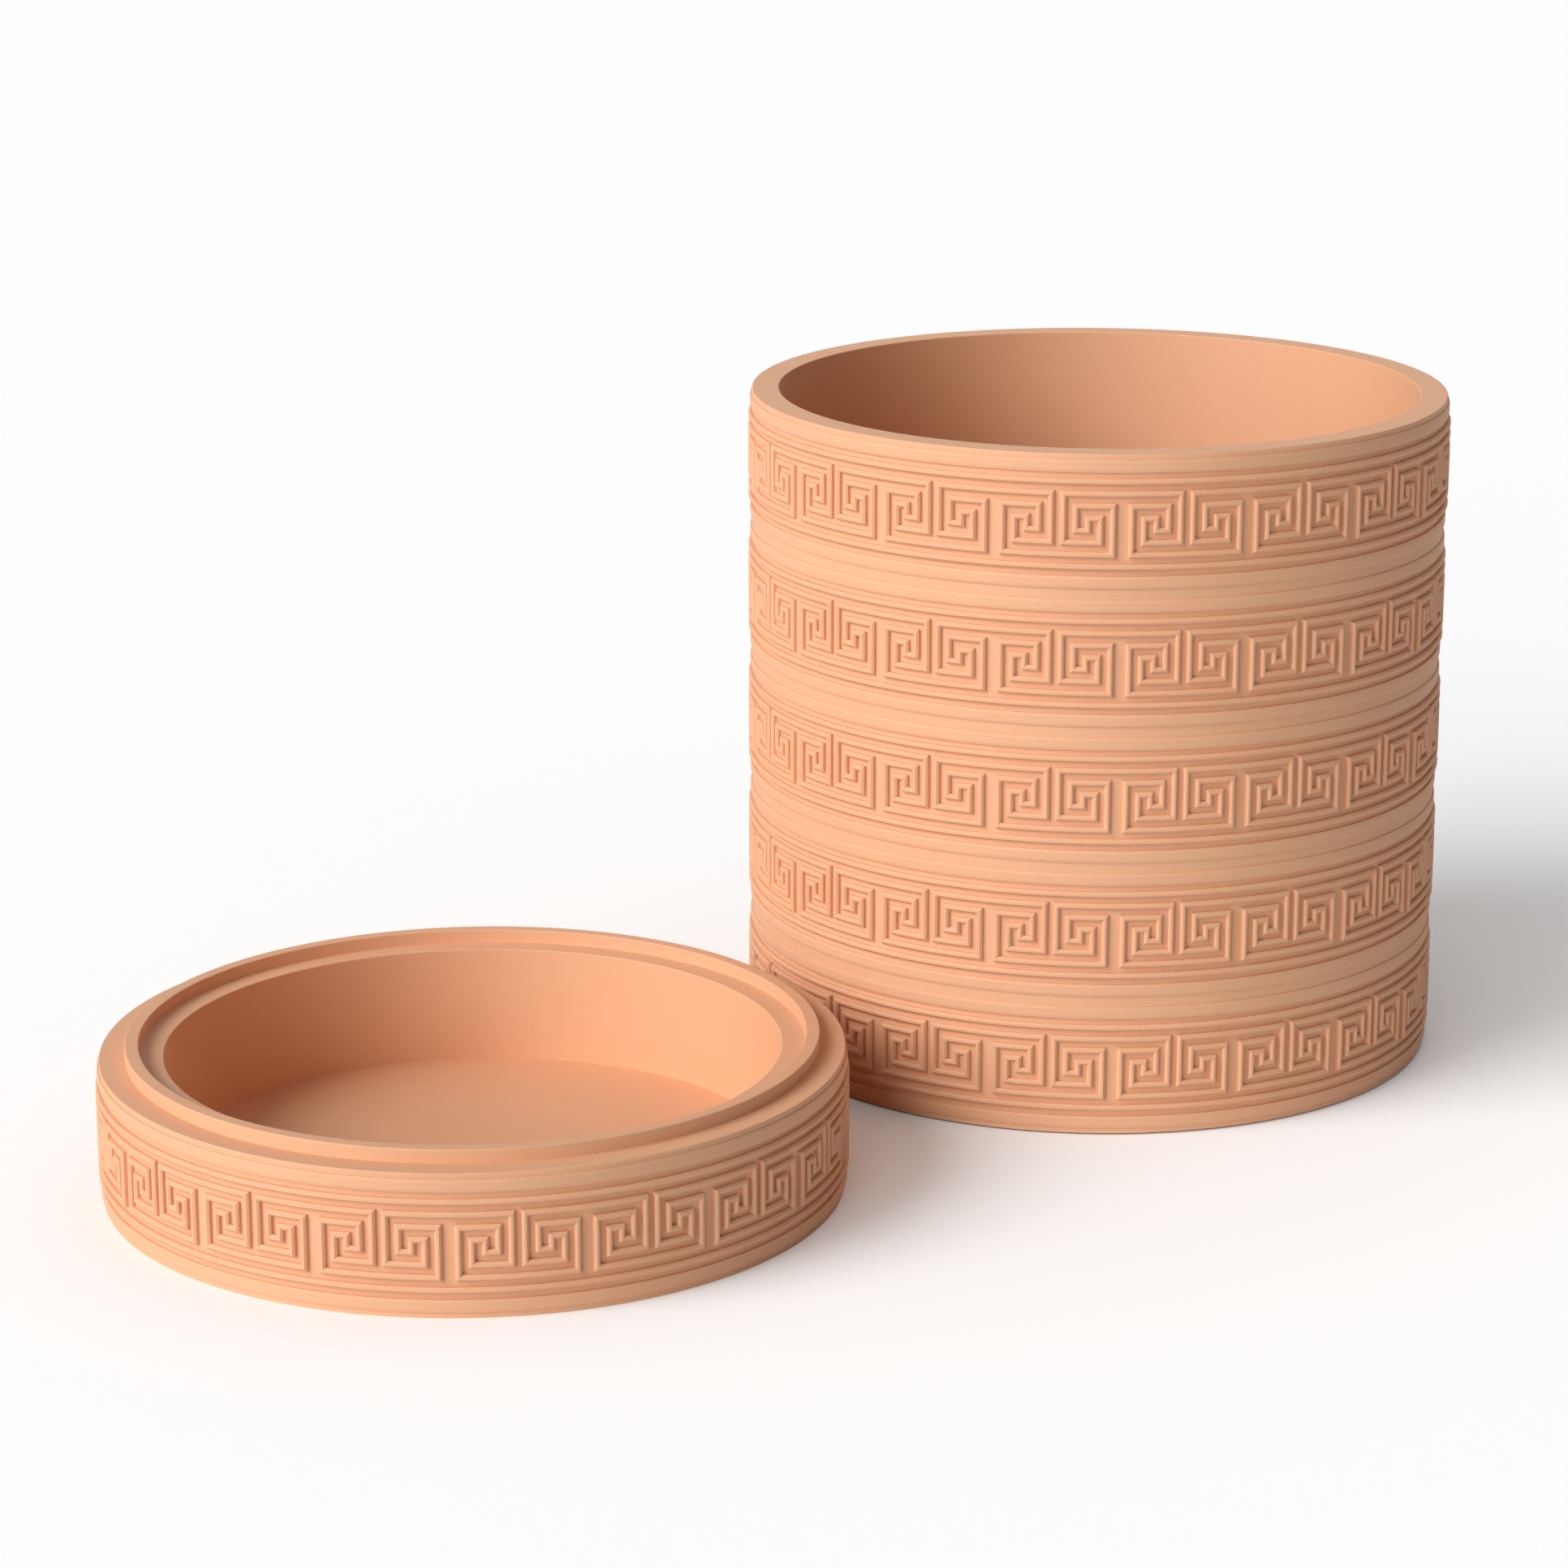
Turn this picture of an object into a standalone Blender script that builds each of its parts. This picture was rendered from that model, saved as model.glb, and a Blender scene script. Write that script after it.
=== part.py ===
"""Cylindrical Greek-key vase and the drip tray it seats on.

Both pieces carry the same moulding: a band with a wide flat ring and a thin ring along each edge, and the key
line in a shallow field between them.  The vase stacks five bands, the tray has one.
"""
import math

import bmesh
import bpy
from mathutils import Matrix, Vector
from mathutils.geometry import delaunay_2d_cdt

# Moulding shared by the vase and the tray, in metres
WALL_RADIUS = 0.0750
BAND_HEIGHT = 0.0288
ROW_PITCH = 0.0025
RIB_HEIGHT = 0.00068
FIELD_DEPTH = 0.0003
WIDE_RING_PITCH = 0.0032
WIDE_RING_WIDTH = 0.0020
WIDE_RING_HEIGHT = 0.0003

# Key pattern: each unit is a spiral and its mirror image, five columns each, and half a column of extra gap
KEY_UNITS = 18
KEY_ROWS = 6
UNIT_COLUMNS = 10.5
COLUMN_PITCH = 2 * math.pi / KEY_UNITS / UNIT_COLUMNS
UNIT_END = UNIT_COLUMNS / 2
HALF_UNIT = UNIT_END * COLUMN_PITCH
# Ridge of half a unit, from its middle to its end: columns from the middle, rows from the top one
SPIRAL = [
    (0, 0), (0.5, 0), (0.5, 4), (3.5, 4), (3.5, 2), (2.5, 2),
    (2.5, 3), (1.5, 3), (1.5, 1), (4.5, 1), (4.5, 5), (UNIT_END, 5),
]
# Deepest lines of the field beside that ridge
HOLLOWS = [
    [(0, 0.5), (0, 4.5), (4, 4.5), (4, 1.5), (2, 1.5), (2, 2.5)],
    [(UNIT_END, 4.5), (UNIT_END, 0.5), (1, 0.5), (1, 3.5), (3, 3.5), (3, 2.5)],
]

# Vase
VASE_BANDS = 5
VASE_WALL = 0.0060
VASE_FLOOR = 0.0080
VASE_CORNER_RADIUS = 0.0050
FOOT_STEP_HEIGHT = 0.0004
FOOT_STEP_DEPTH = 0.0016
DRAIN_HOLES = 4
DRAIN_HOLE_RADIUS = 0.0050
DRAIN_CIRCLE_RADIUS = 0.0320

# Tray, whose collar fits a groove under the vase
OUTER_LEDGE = 0.0053
COLLAR_THICKNESS = 0.0028
COLLAR_HEIGHT = 0.0028
INNER_LEDGE = 0.0049
TRAY_FLOOR = 0.0042
TRAY_CORNER_RADIUS = 0.0012
SEAT_CLEARANCE = 0.0004
TRAY_OFFSET = (-0.1304, -0.0997)

# Facets
TURN_STEPS = 2 * KEY_UNITS
CORNER_STEPS = 2
HOLE_SIDES = 12
MERGE_DISTANCE = 0.00001

# Radii that follow from the sizes above
MOUTH_RADIUS = WALL_RADIUS - VASE_WALL
COLLAR_OUTER_RADIUS = WALL_RADIUS - OUTER_LEDGE
COLLAR_INNER_RADIUS = COLLAR_OUTER_RADIUS - COLLAR_THICKNESS
BOWL_RADIUS = COLLAR_INNER_RADIUS - INNER_LEDGE
GROOVE_DEPTH = COLLAR_HEIGHT + SEAT_CLEARANCE


def clear_scene():
    for item in list(bpy.data.objects):
        bpy.data.objects.remove(item, do_unlink=True)


def new_collection(name):
    collection = bpy.data.collections.new(name)
    bpy.context.scene.collection.children.link(collection)
    return collection


def terracotta(name, colour):
    material = bpy.data.materials.new(name)
    material.use_nodes = True
    shader = material.node_tree.nodes["Principled BSDF"]
    shader.inputs["Base Color"].default_value = colour
    shader.inputs["Roughness"].default_value = 0.75
    shader.inputs["Metallic"].default_value = 0.0
    return material


def ring_levels():
    """Lines of the rings in a band's upper half, downwards: height from the band's middle, rise above the wall."""
    thin = (KEY_ROWS + 1) / 2 * ROW_PITCH
    wide = thin + WIDE_RING_PITCH
    return [
        (BAND_HEIGHT / 2, 0.0),
        (wide + WIDE_RING_WIDTH / 2, WIDE_RING_HEIGHT),
        (wide - WIDE_RING_WIDTH / 2, WIDE_RING_HEIGHT),
        (thin + ROW_PITCH / 2, -FIELD_DEPTH),
        (thin, RIB_HEIGHT),
        (thin - ROW_PITCH / 2, -FIELD_DEPTH),
    ]


def key_line(points, middle, rise):
    """Points of the key pattern as (angle from the unit's end, height, rise)."""
    line = []
    for column, row in points:
        height = middle + ((KEY_ROWS - 1) / 2 - row) * ROW_PITCH
        line.append(((UNIT_END - column) * COLUMN_PITCH, height, rise))
    return line


def add_line(points, places, edges):
    """Number the points that are new and join the points in a row."""
    numbers = [places.setdefault(point, len(places)) for point in points]
    edges += zip(numbers, numbers[1:])


def add_half_unit(mesh, bottom):
    """Outside of one band over half a key unit, starting at -Y in the middle of the gap between two units."""
    middle = bottom + BAND_HEIGHT / 2
    places = {}
    edges = []
    for offset, rise in ring_levels():
        for height in (middle + offset, middle - offset):
            add_line([(0.0, height, rise), (HALF_UNIT, height, rise)], places, edges)
    add_line(key_line(SPIRAL, middle, RIB_HEIGHT), places, edges)
    for hollow in HOLLOWS:
        add_line(key_line(hollow, middle, -FIELD_DEPTH), places, edges)
    unrolled = [Vector((angle * WALL_RADIUS, height)) for angle, height, rise in places]
    triangles = delaunay_2d_cdt(unrolled, edges, [], 0, MERGE_DISTANCE)[2]
    corners = []
    for angle, height, rise in places:
        radius = WALL_RADIUS + rise
        corners.append(mesh.verts.new((radius * math.sin(angle), -radius * math.cos(angle), height)))
    for triangle in triangles:
        mesh.faces.new([corners[number] for number in triangle])


def everything(mesh):
    return mesh.verts[:] + mesh.edges[:] + mesh.faces[:]


def spin(mesh, geometry, angle, steps, copies):
    """Sweep the geometry round the Z axis, or lay copies of it round."""
    bmesh.ops.spin(
        mesh, geom=geometry, cent=(0, 0, 0), axis=(0, 0, 1), angle=angle, steps=steps, use_duplicate=copies
    )


def moulded(name, bottom, bands, outlines, collection, material):
    """Solid with stacked bands of moulding round it; the outlines, turned, make the rest of its surface."""
    mesh = bmesh.new()
    for band in range(bands):
        add_half_unit(mesh, bottom + band * BAND_HEIGHT)
    bmesh.ops.mirror(mesh, geom=everything(mesh), matrix=Matrix(), merge_dist=MERGE_DISTANCE, axis="X")
    spin(mesh, everything(mesh), 2 * math.pi * (KEY_UNITS - 1) / KEY_UNITS, KEY_UNITS - 1, True)
    for outline in outlines:
        corners = [mesh.verts.new((radius, 0.0, height)) for radius, height in outline]
        edges = [mesh.edges.new(pair) for pair in zip(corners, corners[1:])]
        spin(mesh, corners + edges, 2 * math.pi, TURN_STEPS, False)
    bmesh.ops.remove_doubles(mesh, verts=mesh.verts, dist=MERGE_DISTANCE)
    bmesh.ops.holes_fill(mesh, edges=mesh.edges, sides=0)
    bmesh.ops.recalc_face_normals(mesh, faces=mesh.faces)
    data = bpy.data.meshes.new(name)
    mesh.to_mesh(data)
    mesh.free()
    data.materials.append(material)
    piece = bpy.data.objects.new(name, data)
    collection.objects.link(piece)
    return piece


def inner_corner(radius, floor, corner):
    """Rounded corner between an inside floor and an inside wall, running out and up."""
    points = []
    for step in range(CORNER_STEPS + 1):
        angle = math.pi / 2 * step / CORNER_STEPS
        across = radius - corner + corner * math.sin(angle)
        points.append((across, floor + corner - corner * math.cos(angle)))
    return points


def vase_outlines():
    """Inside and rim of the vase, then its foot and the groove under it."""
    top = FOOT_STEP_HEIGHT + VASE_BANDS * BAND_HEIGHT
    foot_radius = WALL_RADIUS - FOOT_STEP_DEPTH
    groove_outer = COLLAR_OUTER_RADIUS + SEAT_CLEARANCE
    groove_inner = COLLAR_INNER_RADIUS - SEAT_CLEARANCE
    inside = inner_corner(MOUTH_RADIUS, VASE_FLOOR, VASE_CORNER_RADIUS)
    inside += [(MOUTH_RADIUS, top), (WALL_RADIUS, top)]
    foot = [
        (WALL_RADIUS, FOOT_STEP_HEIGHT),
        (foot_radius, FOOT_STEP_HEIGHT),
        (foot_radius, 0.0),
        (groove_outer, 0.0),
        (groove_outer, GROOVE_DEPTH),
        (groove_inner, GROOVE_DEPTH),
        (groove_inner, 0.0),
    ]
    return [inside, foot]


def tray_outline():
    """Bowl, ledges and collar of the tray."""
    collar_top = BAND_HEIGHT + COLLAR_HEIGHT
    points = inner_corner(BOWL_RADIUS, TRAY_FLOOR, TRAY_CORNER_RADIUS)
    points += [
        (BOWL_RADIUS, BAND_HEIGHT),
        (COLLAR_INNER_RADIUS, BAND_HEIGHT),
        (COLLAR_INNER_RADIUS, collar_top),
        (COLLAR_OUTER_RADIUS, collar_top),
        (COLLAR_OUTER_RADIUS, BAND_HEIGHT),
        (WALL_RADIUS, BAND_HEIGHT),
    ]
    return points


def drill_drain_holes(vase, collection):
    """Round holes through the vase floor, evenly spaced on a circle and clear of the centre."""
    for index in range(DRAIN_HOLES):
        angle = 2 * math.pi * (index + 0.5) / DRAIN_HOLES
        place = (DRAIN_CIRCLE_RADIUS * math.cos(angle), DRAIN_CIRCLE_RADIUS * math.sin(angle), VASE_FLOOR / 2)
        bpy.ops.mesh.primitive_cylinder_add(
            vertices=HOLE_SIDES, radius=DRAIN_HOLE_RADIUS, depth=2 * VASE_FLOOR, location=place
        )
        cutter = bpy.context.object
        cutter.name = f"drain_hole_cutter_{index + 1}"
        cutter.hide_render = True
        cutter.display_type = "WIRE"
        for owner in list(cutter.users_collection):
            owner.objects.unlink(cutter)
        collection.objects.link(cutter)
        cut = vase.modifiers.new(f"drain_hole_{index + 1}", "BOOLEAN")
        cut.operation = "DIFFERENCE"
        cut.object = cutter


def build():
    clear_scene()
    pieces = new_collection("greek_key_vase")
    cutters = new_collection("cutters")
    vase_clay = terracotta("vase_terracotta", (0.80, 0.42, 0.24, 1.0))
    tray_clay = terracotta("tray_terracotta", (0.80, 0.42, 0.24, 1.0))
    vase = moulded("vase_body", FOOT_STEP_HEIGHT, VASE_BANDS, vase_outlines(), pieces, vase_clay)
    drill_drain_holes(vase, cutters)
    tray = moulded("drip_tray", 0.0, 1, [tray_outline()], pieces, tray_clay)
    tray.location = (TRAY_OFFSET[0], TRAY_OFFSET[1], 0.0)


build()
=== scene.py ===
"""Looks of the Greek key vase and its drip tray: turned walls, key relief, clay, light and camera."""
import math

import bmesh
import bpy
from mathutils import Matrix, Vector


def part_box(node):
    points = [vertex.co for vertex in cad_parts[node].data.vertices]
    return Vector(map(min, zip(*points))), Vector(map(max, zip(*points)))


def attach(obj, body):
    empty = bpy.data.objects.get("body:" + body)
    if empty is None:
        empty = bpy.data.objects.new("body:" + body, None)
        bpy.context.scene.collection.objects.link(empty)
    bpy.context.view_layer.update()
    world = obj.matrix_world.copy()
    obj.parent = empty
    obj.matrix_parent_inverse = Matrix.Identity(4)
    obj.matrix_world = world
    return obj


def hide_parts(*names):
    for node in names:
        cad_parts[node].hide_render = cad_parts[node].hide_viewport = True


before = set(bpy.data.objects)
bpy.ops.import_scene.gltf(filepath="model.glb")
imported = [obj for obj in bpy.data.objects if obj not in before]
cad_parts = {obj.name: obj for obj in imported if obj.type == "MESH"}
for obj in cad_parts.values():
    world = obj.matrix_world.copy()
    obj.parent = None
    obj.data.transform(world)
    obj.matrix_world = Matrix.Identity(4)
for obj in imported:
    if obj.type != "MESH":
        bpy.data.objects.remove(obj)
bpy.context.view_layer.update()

# Moulding of both pieces, in metres: heights are above the plain wall, and the field lies below it
RIB_FOOT_WIDTH = 0.00126
RIB_TOP_WIDTH = 0.00044
RIB_WALL = 0.00040
RIB_HEIGHT = 0.00078
RIB_ROOT = 0.00008
FIELD_DEPTH = 0.00026
ROW_PITCH = 0.0025
RING_GAP = 0.00191
WIDE_RING_FOOT_WIDTH = 0.00256
WIDE_RING_TOP_WIDTH = 0.0014
WIDE_RING_WALL = 0.00028
WIDE_RING_HEIGHT = 0.0004
EDGE_EASE = 0.0003

# Key pattern: each unit is a spiral and its mirror image, five columns each, and half a column of extra gap
KEY_UNITS = 18
KEY_ROWS = 6
UNIT_COLUMNS = 10.5
COLUMN_PITCH = 2 * math.pi / KEY_UNITS / UNIT_COLUMNS
# Corners of a unit's left spiral, from its top line to its bottom line: columns count from the unit's
# middle and rows from the top
SPIRAL = [(0, 0), (0, 4), (3, 4), (3, 2), (2, 2), (2, 3), (1, 3), (1, 1), (4, 1), (4, 5)]

# Vase
VASE_BANDS = 5
VASE_WALL = 0.0059
VASE_FLOOR = 0.0080
VASE_CORNER_RADIUS = 0.0050
FOOT_STEP_HEIGHT = 0.0004
FOOT_STEP_DEPTH = 0.0016
DRAIN_HOLES = 4
DRAIN_HOLE_RADIUS = 0.0050
DRAIN_CIRCLE_RADIUS = 0.0320

# Tray, whose collar fits a groove under the vase
OUTER_LEDGE = 0.0052
COLLAR_THICKNESS = 0.0028
COLLAR_HEIGHT = 0.0028
INNER_LEDGE = 0.0049
TRAY_FLOOR = 0.0042
SEAT_CLEARANCE = 0.0004

# Fineness
TURN_STEPS = 180
CURVE_STEPS = 12
CORNER_STEPS = 16
HOLE_SIDES = 48
ARC_STEP = 2 * math.pi / TURN_STEPS
MERGE_DISTANCE = 0.000001
SHARP_ANGLE = math.radians(8)

# Clay: noise scales are per metre
CLAY_SPECULAR = 0.62
DARK_TONE = (0.787, 0.414, 0.231, 1.0)
LIGHT_TONE = (0.817, 0.438, 0.249, 1.0)
DARK_TONE_POSITION = 0.3
LIGHT_TONE_POSITION = 0.7
DRIFT_SCALE = 22.0
DRIFT_DETAIL = 4.0
GRAIN_SCALE = 2600.0
GRAIN_DETAIL = 2.0
FLECK_SHARE = 0.06
LOW_ROUGHNESS = 0.58
HIGH_ROUGHNESS = 0.72
BUMP_STRENGTH = 0.12
BUMP_DISTANCE = 0.00006

# Camera, fitted to the photograph: its place is in metres, its lens and sensor in millimetres
CAMERA_PLACE = (-0.06793, -0.94941, 0.31923)
CAMERA_PITCH = math.radians(15.544)
CAMERA_LENS = 102.14
SENSOR_WIDTH = 36.0

# Light: name, azimuth, elevation, strength and spread of each lamp, with angles in degrees
LAMPS = [
    ("key", -61.0, 35.0, 0.82, 40.0),
    ("front_fill", -28.0, 13.0, 0.42, 40.0),
    ("back_fill", 150.0, 50.0, 0.13, 60.0),
]
FILL_STRENGTH = 0.04
WHITE = (1.0, 1.0, 1.0, 1.0)
FLOOR_COLOUR = (0.95, 0.95, 0.95, 1.0)
SEEN_FLOOR_COLOUR = (0.88, 0.88, 0.88, 1.0)
# Glow that lifts the seen floor to white. Within the reach below, ambient occlusion dims it near the object:
# painted shade on the floor
FLOOR_GLOW = 0.365
PAINTED_SHADE_REACH = 0.32
FLOOR_SIZE = 20.0
FLOOR_DROP = 0.00002

# Places and overall sizes read from the frame
vase_low, vase_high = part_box("vase_body")
tray_low, tray_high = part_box("drip_tray")
VASE_AXIS = ((vase_low.x + vase_high.x) / 2, (vase_low.y + vase_high.y) / 2)
TRAY_AXIS = ((tray_low.x + tray_high.x) / 2, (tray_low.y + tray_high.y) / 2)
VASE_TOP = vase_high.z
COLLAR_TOP = tray_high.z
WALL_RADIUS = (vase_high.x - vase_low.x) / 2 - RIB_HEIGHT
BAND_HEIGHT = COLLAR_TOP - COLLAR_HEIGHT
MOUTH_RADIUS = WALL_RADIUS - VASE_WALL
COLLAR_OUTER_RADIUS = WALL_RADIUS - OUTER_LEDGE
COLLAR_INNER_RADIUS = COLLAR_OUTER_RADIUS - COLLAR_THICKNESS
BOWL_RADIUS = COLLAR_INNER_RADIUS - INNER_LEDGE


def curve(start, corner, end):
    """Points of a smooth bend from start to end that leaves towards the corner and arrives from it."""
    guides = (start, corner, end)
    points = []
    for step in range(CURVE_STEPS + 1):
        done = step / CURVE_STEPS
        weights = ((1 - done) ** 2, 2 * done * (1 - done), done ** 2)
        across = sum(weight * guide[0] for weight, guide in zip(weights, guides))
        height = sum(weight * guide[1] for weight, guide in zip(weights, guides))
        points.append((across, height))
    return points


def eased_edge(inner, outer, top):
    """Flat top between two upright walls, running outwards, with both edges eased."""
    rise = curve((inner, top - EDGE_EASE), (inner, top), (inner + EDGE_EASE, top))
    fall = curve((outer - EDGE_EASE, top), (outer, top), (outer, top - EDGE_EASE))
    return rise + fall


def inner_corner(radius, floor, corner):
    """Round corner between an inside floor and an inside wall, running out and up."""
    points = []
    for step in range(CORNER_STEPS + 1):
        angle = math.pi / 2 * step / CORNER_STEPS
        across = radius - corner + corner * math.sin(angle)
        points.append((across, floor + corner - corner * math.cos(angle)))
    return points


def raised_section(foot_width, top_width, wall, height):
    """Half widths and heights across a raised line in the field: an upright wall, a slope and a flat top."""
    side = [(foot_width / 2, -FIELD_DEPTH), (foot_width / 2, wall), (top_width / 2, height)]
    return side + [(-width, rise) for width, rise in reversed(side)]


def band_outline(bottom):
    """Outer side of one moulding band, running down."""
    middle = bottom + BAND_HEIGHT / 2
    thin_offset = (KEY_ROWS + 1) / 2 * ROW_PITCH
    wide_offset = thin_offset + RING_GAP + WIDE_RING_FOOT_WIDTH / 2
    wide = raised_section(WIDE_RING_FOOT_WIDTH, WIDE_RING_TOP_WIDTH, WIDE_RING_WALL, WIDE_RING_HEIGHT)
    # The wide ring's side at the band's edge starts from the plain wall, not from the field
    wide[0] = (WIDE_RING_FOOT_WIDTH / 2, 0.0)
    thin = raised_section(RIB_FOOT_WIDTH, RIB_TOP_WIDTH, RIB_WALL, RIB_HEIGHT)
    upper = [(wide_offset + width, rise) for width, rise in wide]
    upper += [(thin_offset + width, rise) for width, rise in thin]
    lower = [(-offset, rise) for offset, rise in reversed(upper)]
    return [(WALL_RADIUS + rise, middle + offset) for offset, rise in upper + lower]


def vase_outline():
    """Half section of the vase, from the middle of its inside floor over the rim to the underside."""
    foot_radius = WALL_RADIUS - FOOT_STEP_DEPTH
    groove_outer = COLLAR_OUTER_RADIUS + SEAT_CLEARANCE
    groove_inner = COLLAR_INNER_RADIUS - SEAT_CLEARANCE
    groove_top = COLLAR_HEIGHT + SEAT_CLEARANCE
    points = [(0.0, VASE_FLOOR)]
    points += inner_corner(MOUTH_RADIUS, VASE_FLOOR, VASE_CORNER_RADIUS)
    points += eased_edge(MOUTH_RADIUS, WALL_RADIUS, VASE_TOP)
    for band in reversed(range(VASE_BANDS)):
        points += band_outline(FOOT_STEP_HEIGHT + band * BAND_HEIGHT)
    points += [
        (WALL_RADIUS, FOOT_STEP_HEIGHT),
        (foot_radius, FOOT_STEP_HEIGHT),
        (foot_radius, 0.0),
        (groove_outer, 0.0),
        (groove_outer, groove_top),
        (groove_inner, groove_top),
        (groove_inner, 0.0),
        (0.0, 0.0),
    ]
    return points


def tray_outline():
    """Half section of the tray, from the middle of its bowl over the collar to the underside."""
    points = [(0.0, TRAY_FLOOR), (BOWL_RADIUS, TRAY_FLOOR)]
    lip = (BOWL_RADIUS, BAND_HEIGHT)
    points += curve((lip[0], lip[1] - EDGE_EASE), lip, (lip[0] + EDGE_EASE, lip[1]))
    points.append((COLLAR_INNER_RADIUS, BAND_HEIGHT))
    points += eased_edge(COLLAR_INNER_RADIUS, COLLAR_OUTER_RADIUS, COLLAR_TOP)
    points.append((COLLAR_OUTER_RADIUS, BAND_HEIGHT))
    rim = (WALL_RADIUS, BAND_HEIGHT)
    points += curve((rim[0] - EDGE_EASE, rim[1]), rim, (rim[0], rim[1] - EDGE_EASE))
    points += band_outline(0.0)
    points += [(WALL_RADIUS, 0.0), (0.0, 0.0)]
    return points


def new_piece(name, mesh, axis, material):
    mesh.materials.append(material)
    piece = bpy.data.objects.new(name, mesh)
    piece.location = (axis[0], axis[1], 0.0)
    bpy.context.scene.collection.objects.link(piece)
    return piece


def shade(piece):
    """Smooth shading with crisp edges, and flat faces that stay flat beside eased ones."""
    piece.data.shade_smooth()
    piece.data.set_sharp_from_angle(angle=SHARP_ANGLE)
    weighted = piece.modifiers.new("face_weighted_shading", "WEIGHTED_NORMAL")
    weighted.keep_sharp = True


def bake_modifiers(piece):
    """The piece keeps the shape its modifiers make, and the modifiers go."""
    graph = bpy.context.evaluated_depsgraph_get()
    mesh = bpy.data.meshes.new_from_object(piece.evaluated_get(graph))
    piece.modifiers.clear()
    piece.data = mesh


def turned(name, outline, axis, material):
    """Solid of revolution about the piece's own Z axis."""
    mesh = bpy.data.meshes.new(name)
    vertices = [(radius, 0.0, height) for radius, height in outline]
    edges = [(index, index + 1) for index in range(len(vertices) - 1)]
    mesh.from_pydata(vertices, edges, [])
    piece = new_piece(name, mesh, axis, material)
    screw = piece.modifiers.new("turning", "SCREW")
    screw.axis = "Z"
    screw.angle = 2 * math.pi
    screw.steps = TURN_STEPS
    screw.render_steps = TURN_STEPS
    screw.use_merge_vertices = True
    screw.merge_threshold = MERGE_DISTANCE
    bake_modifiers(piece)
    return piece


def drill_drain_holes(vase):
    """Round holes through the vase floor, evenly spaced on a circle."""
    cutters = []
    for index in range(DRAIN_HOLES):
        angle = 2 * math.pi * (index + 0.5) / DRAIN_HOLES
        across = VASE_AXIS[0] + DRAIN_CIRCLE_RADIUS * math.cos(angle)
        along = VASE_AXIS[1] + DRAIN_CIRCLE_RADIUS * math.sin(angle)
        bpy.ops.mesh.primitive_cylinder_add(
            vertices=HOLE_SIDES,
            radius=DRAIN_HOLE_RADIUS,
            depth=2 * VASE_FLOOR,
            location=(across, along, VASE_FLOOR / 2),
        )
        cutters.append(bpy.context.object)
        cut = vase.modifiers.new(f"drain_hole_{index + 1}", "BOOLEAN")
        cut.operation = "DIFFERENCE"
        cut.object = cutters[-1]
    bake_modifiers(vase)
    for cutter in cutters:
        bpy.data.objects.remove(cutter, do_unlink=True)


def key_corners(middle):
    """Corners of the key line once round the wall, as (angle, height). The gap between two units faces -Y."""
    corners = []
    for unit in range(KEY_UNITS):
        centre = 2 * math.pi * (unit + 0.5) / KEY_UNITS
        for side, spiral in ((-1, SPIRAL), (1, SPIRAL[::-1])):
            for column, row in spiral:
                angle = centre + side * (column + 0.5) * COLUMN_PITCH
                corners.append((angle, middle + ((KEY_ROWS - 1) / 2 - row) * ROW_PITCH))
    return corners


def key_stations(corners):
    """Points along the closed key line as (angle, height, side): side is the mitred step to the line's left.

    Level runs are split into short arcs, so that they follow the round wall.
    """
    turns = []
    lefts = []
    for index, (angle, height) in enumerate(corners):
        next_angle, next_height = corners[(index + 1) % len(corners)]
        turn = (next_angle - angle + math.pi) % (2 * math.pi) - math.pi
        rise = next_height - height
        if abs(turn) * WALL_RADIUS > abs(rise):
            left = (0.0, math.copysign(1.0, turn))
        else:
            left = (-math.copysign(1.0, rise), 0.0)
        turns.append(turn)
        lefts.append(left)
    stations = []
    for index, (angle, height) in enumerate(corners):
        turn = turns[index]
        left = lefts[index]
        last_left = lefts[index - 1]
        stations.append((angle, height, (left[0] + last_left[0], left[1] + last_left[1])))
        pieces = max(1, math.ceil(abs(turn) / ARC_STEP))
        for step in range(1, pieces):
            stations.append((angle + turn * step / pieces, height, left))
    return stations


def key_rib(name, middle, axis, material):
    """One band's key line as a single closed rib, rooted a little way into the wall."""
    section = raised_section(RIB_FOOT_WIDTH, RIB_TOP_WIDTH, RIB_WALL, RIB_HEIGHT)
    root = -FIELD_DEPTH - RIB_ROOT
    section = [(section[0][0], root)] + section + [(section[-1][0], root)]
    relief = bmesh.new()
    loops = []
    for angle, height, side in key_stations(key_corners(middle)):
        loop = []
        for width, depth in section:
            turn = angle + side[0] * width / WALL_RADIUS
            radius = WALL_RADIUS + depth
            place = (radius * math.sin(turn), -radius * math.cos(turn), height + side[1] * width)
            loop.append(relief.verts.new(place))
        loops.append(loop)
    for index, loop in enumerate(loops):
        after = loops[(index + 1) % len(loops)]
        for edge in range(len(section)):
            following = (edge + 1) % len(section)
            relief.faces.new((loop[edge], loop[following], after[following], after[edge]))
    bmesh.ops.recalc_face_normals(relief, faces=relief.faces)
    mesh = bpy.data.meshes.new(name)
    relief.to_mesh(mesh)
    relief.free()
    return new_piece(name, mesh, axis, material)


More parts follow.
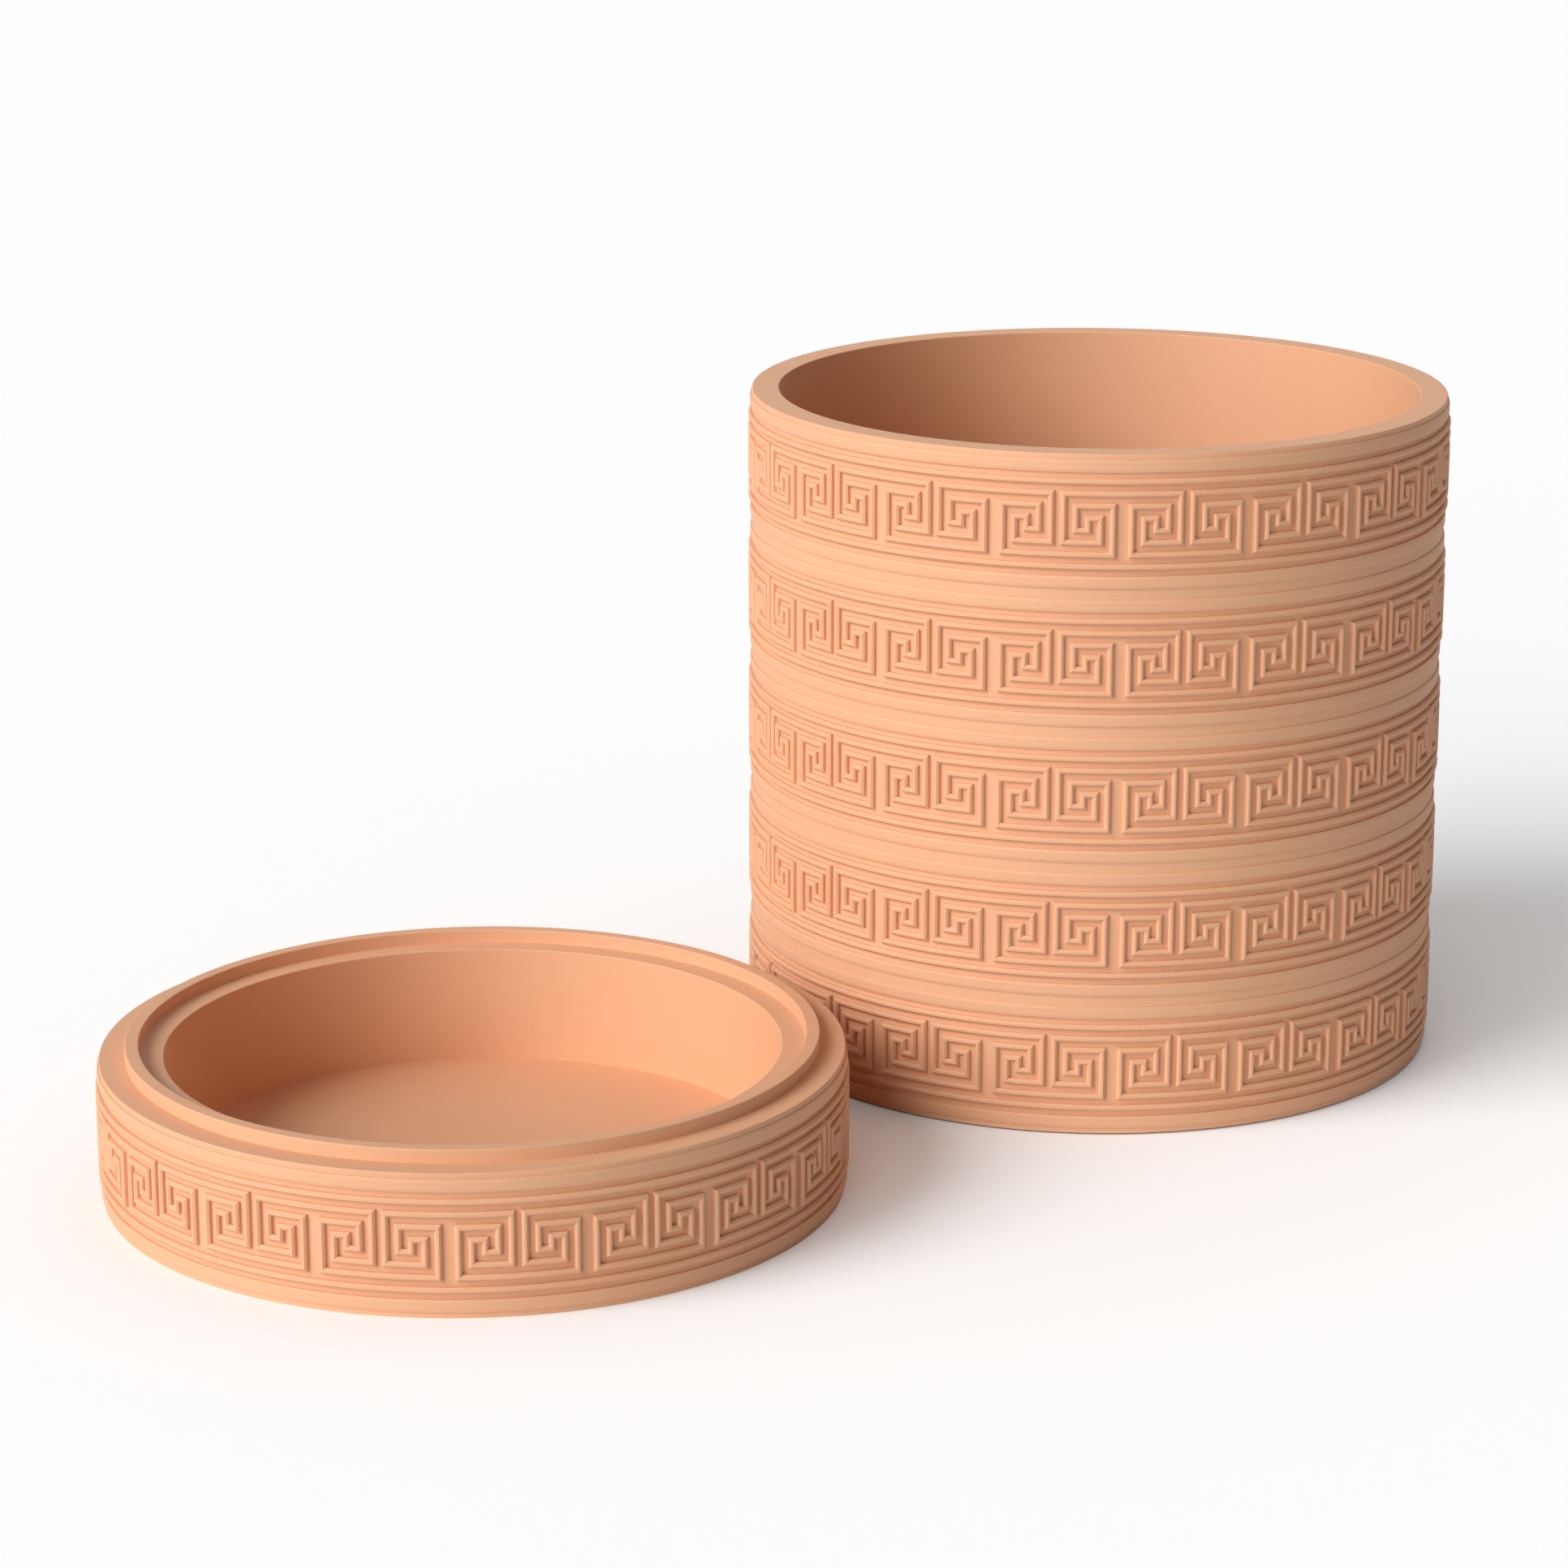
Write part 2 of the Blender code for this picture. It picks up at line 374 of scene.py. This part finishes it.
def clay(name):
    """Matte terracotta: a warm tone that drifts a little, fine grain in colour, gloss and surface."""
    material = bpy.data.materials.new(name)
    material.use_nodes = True
    nodes = material.node_tree.nodes
    links = material.node_tree.links
    shader = nodes["Principled BSDF"]
    shader.inputs["Specular IOR Level"].default_value = CLAY_SPECULAR
    place = nodes.new("ShaderNodeTexCoord")
    drift = nodes.new("ShaderNodeTexNoise")
    drift.inputs["Scale"].default_value = DRIFT_SCALE
    drift.inputs["Detail"].default_value = DRIFT_DETAIL
    grain = nodes.new("ShaderNodeTexNoise")
    grain.inputs["Scale"].default_value = GRAIN_SCALE
    grain.inputs["Detail"].default_value = GRAIN_DETAIL
    tone = nodes.new("ShaderNodeValToRGB")
    tone.color_ramp.elements[0].position = DARK_TONE_POSITION
    tone.color_ramp.elements[0].color = DARK_TONE
    tone.color_ramp.elements[1].position = LIGHT_TONE_POSITION
    tone.color_ramp.elements[1].color = LIGHT_TONE
    fleck = nodes.new("ShaderNodeMix")
    fleck.data_type = "RGBA"
    fleck.blend_type = "MULTIPLY"
    fleck.inputs["Factor"].default_value = FLECK_SHARE
    gloss = nodes.new("ShaderNodeMapRange")
    gloss.inputs["To Min"].default_value = LOW_ROUGHNESS
    gloss.inputs["To Max"].default_value = HIGH_ROUGHNESS
    bump = nodes.new("ShaderNodeBump")
    bump.inputs["Strength"].default_value = BUMP_STRENGTH
    bump.inputs["Distance"].default_value = BUMP_DISTANCE
    for noise in (drift, grain):
        links.new(place.outputs["Object"], noise.inputs["Vector"])
    links.new(drift.outputs["Fac"], tone.inputs["Fac"])
    links.new(tone.outputs["Color"], fleck.inputs["A"])
    links.new(grain.outputs["Fac"], fleck.inputs["B"])
    links.new(fleck.outputs["Result"], shader.inputs["Base Color"])
    links.new(grain.outputs["Fac"], gloss.inputs["Value"])
    links.new(gloss.outputs["Result"], shader.inputs["Roughness"])
    links.new(grain.outputs["Fac"], bump.inputs["Height"])
    links.new(bump.outputs["Normal"], shader.inputs["Normal"])
    return material


def fit_out(piece, body):
    shade(piece)
    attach(piece, body)


def build_vase():
    material = clay("vase_clay")
    shell = turned("vase_shell", vase_outline(), VASE_AXIS, material)
    drill_drain_holes(shell)
    fit_out(shell, "vase")
    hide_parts("vase_body")
    for band in range(VASE_BANDS):
        middle = FOOT_STEP_HEIGHT + (band + 0.5) * BAND_HEIGHT
        rib = key_rib(f"vase_key_band_{band + 1}", middle, VASE_AXIS, material)
        fit_out(rib, "vase")


def build_tray():
    material = clay("tray_clay")
    shell = turned("tray_shell", tray_outline(), TRAY_AXIS, material)
    fit_out(shell, "tray")
    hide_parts("drip_tray")
    rib = key_rib("tray_key_band", BAND_HEIGHT / 2, TRAY_AXIS, material)
    fit_out(rib, "tray")


def seen_directly(tree):
    """Output that is 1 for rays from the camera or from a glossy or clear surface, and 0 for all others."""
    nodes = tree.nodes
    path = nodes.new("ShaderNodeLightPath")
    total = path.outputs["Is Camera Ray"]
    for kind in ("Is Glossy Ray", "Is Transmission Ray"):
        either = nodes.new("ShaderNodeMath")
        either.operation = "MAXIMUM"
        tree.links.new(total, either.inputs[0])
        tree.links.new(path.outputs[kind], either.inputs[1])
        total = either.outputs[0]
    return total


def build_floor():
    """White floor that keeps shadows.

    What is seen of it is lifted to white by a glow. Close to the object, ambient occlusion dims that glow,
    which paints shade on the floor there.
    """
    bpy.ops.mesh.primitive_plane_add(size=FLOOR_SIZE, location=(0.0, 0.0, -FLOOR_DROP))
    floor = bpy.context.object
    floor.name = "floor"
    material = bpy.data.materials.new("white_floor")
    material.use_nodes = True
    tree = material.node_tree
    shader = tree.nodes["Principled BSDF"]
    shader.inputs["Roughness"].default_value = 1.0
    shader.inputs["Specular IOR Level"].default_value = 0.0
    shader.inputs["Emission Color"].default_value = WHITE
    seen = seen_directly(tree)
    colour = tree.nodes.new("ShaderNodeMix")
    colour.data_type = "RGBA"
    colour.inputs["A"].default_value = FLOOR_COLOUR
    colour.inputs["B"].default_value = SEEN_FLOOR_COLOUR
    # Ambient occlusion dims the glow near the object and between the pieces: painted shade on the floor
    openness = tree.nodes.new("ShaderNodeAmbientOcclusion")
    openness.inputs["Distance"].default_value = PAINTED_SHADE_REACH
    glow = tree.nodes.new("ShaderNodeMath")
    glow.operation = "MULTIPLY"
    glow.inputs[1].default_value = FLOOR_GLOW
    glow_with_painted_shade = tree.nodes.new("ShaderNodeMath")
    glow_with_painted_shade.operation = "MULTIPLY"
    tree.links.new(seen, colour.inputs["Factor"])
    tree.links.new(colour.outputs["Result"], shader.inputs["Base Color"])
    tree.links.new(seen, glow.inputs[0])
    tree.links.new(glow.outputs[0], glow_with_painted_shade.inputs[0])
    tree.links.new(openness.outputs["AO"], glow_with_painted_shade.inputs[1])
    tree.links.new(glow_with_painted_shade.outputs[0], shader.inputs["Emission Strength"])
    floor.data.materials.append(material)


def build_world():
    """Soft even light from all round, seen as plain white."""
    world = bpy.data.worlds.new("studio")
    world.use_nodes = True
    tree = world.node_tree
    soft = tree.nodes["Background"]
    soft.inputs["Color"].default_value = WHITE
    soft.inputs["Strength"].default_value = FILL_STRENGTH
    white = tree.nodes.new("ShaderNodeBackground")
    white.inputs["Color"].default_value = WHITE
    white.inputs["Strength"].default_value = 1.0
    choose = tree.nodes.new("ShaderNodeMixShader")
    tree.links.new(seen_directly(tree), choose.inputs["Fac"])
    tree.links.new(soft.outputs[0], choose.inputs[1])
    tree.links.new(white.outputs[0], choose.inputs[2])
    tree.links.new(choose.outputs[0], tree.nodes["World Output"].inputs["Surface"])
    bpy.context.scene.world = world


def build_lamp(name, azimuth, elevation, strength, spread):
    """Far soft lamp, which shines from the camera's side at azimuth 0 and from the right at 90.

    At strength 1 it brings a white surface that faces it to full white.
    """
    lamp = bpy.data.lights.new(name, "SUN")
    lamp.energy = math.pi * strength
    lamp.angle = math.radians(spread)
    item = bpy.data.objects.new(name, lamp)
    item.rotation_euler = (math.radians(90 - elevation), 0.0, math.radians(azimuth))
    bpy.context.scene.collection.objects.link(item)


def build_camera():
    data = bpy.data.cameras.new("camera")
    data.lens = CAMERA_LENS
    data.sensor_width = SENSOR_WIDTH
    camera = bpy.data.objects.new("camera", data)
    camera.location = CAMERA_PLACE
    camera.rotation_euler = (math.pi / 2 - CAMERA_PITCH, 0.0, 0.0)
    bpy.context.scene.collection.objects.link(camera)
    bpy.context.scene.camera = camera


build_vase()
build_tray()
build_floor()
build_world()
for lamp in LAMPS:
    build_lamp(*lamp)
build_camera()
bpy.context.scene.view_settings.view_transform = "Standard"
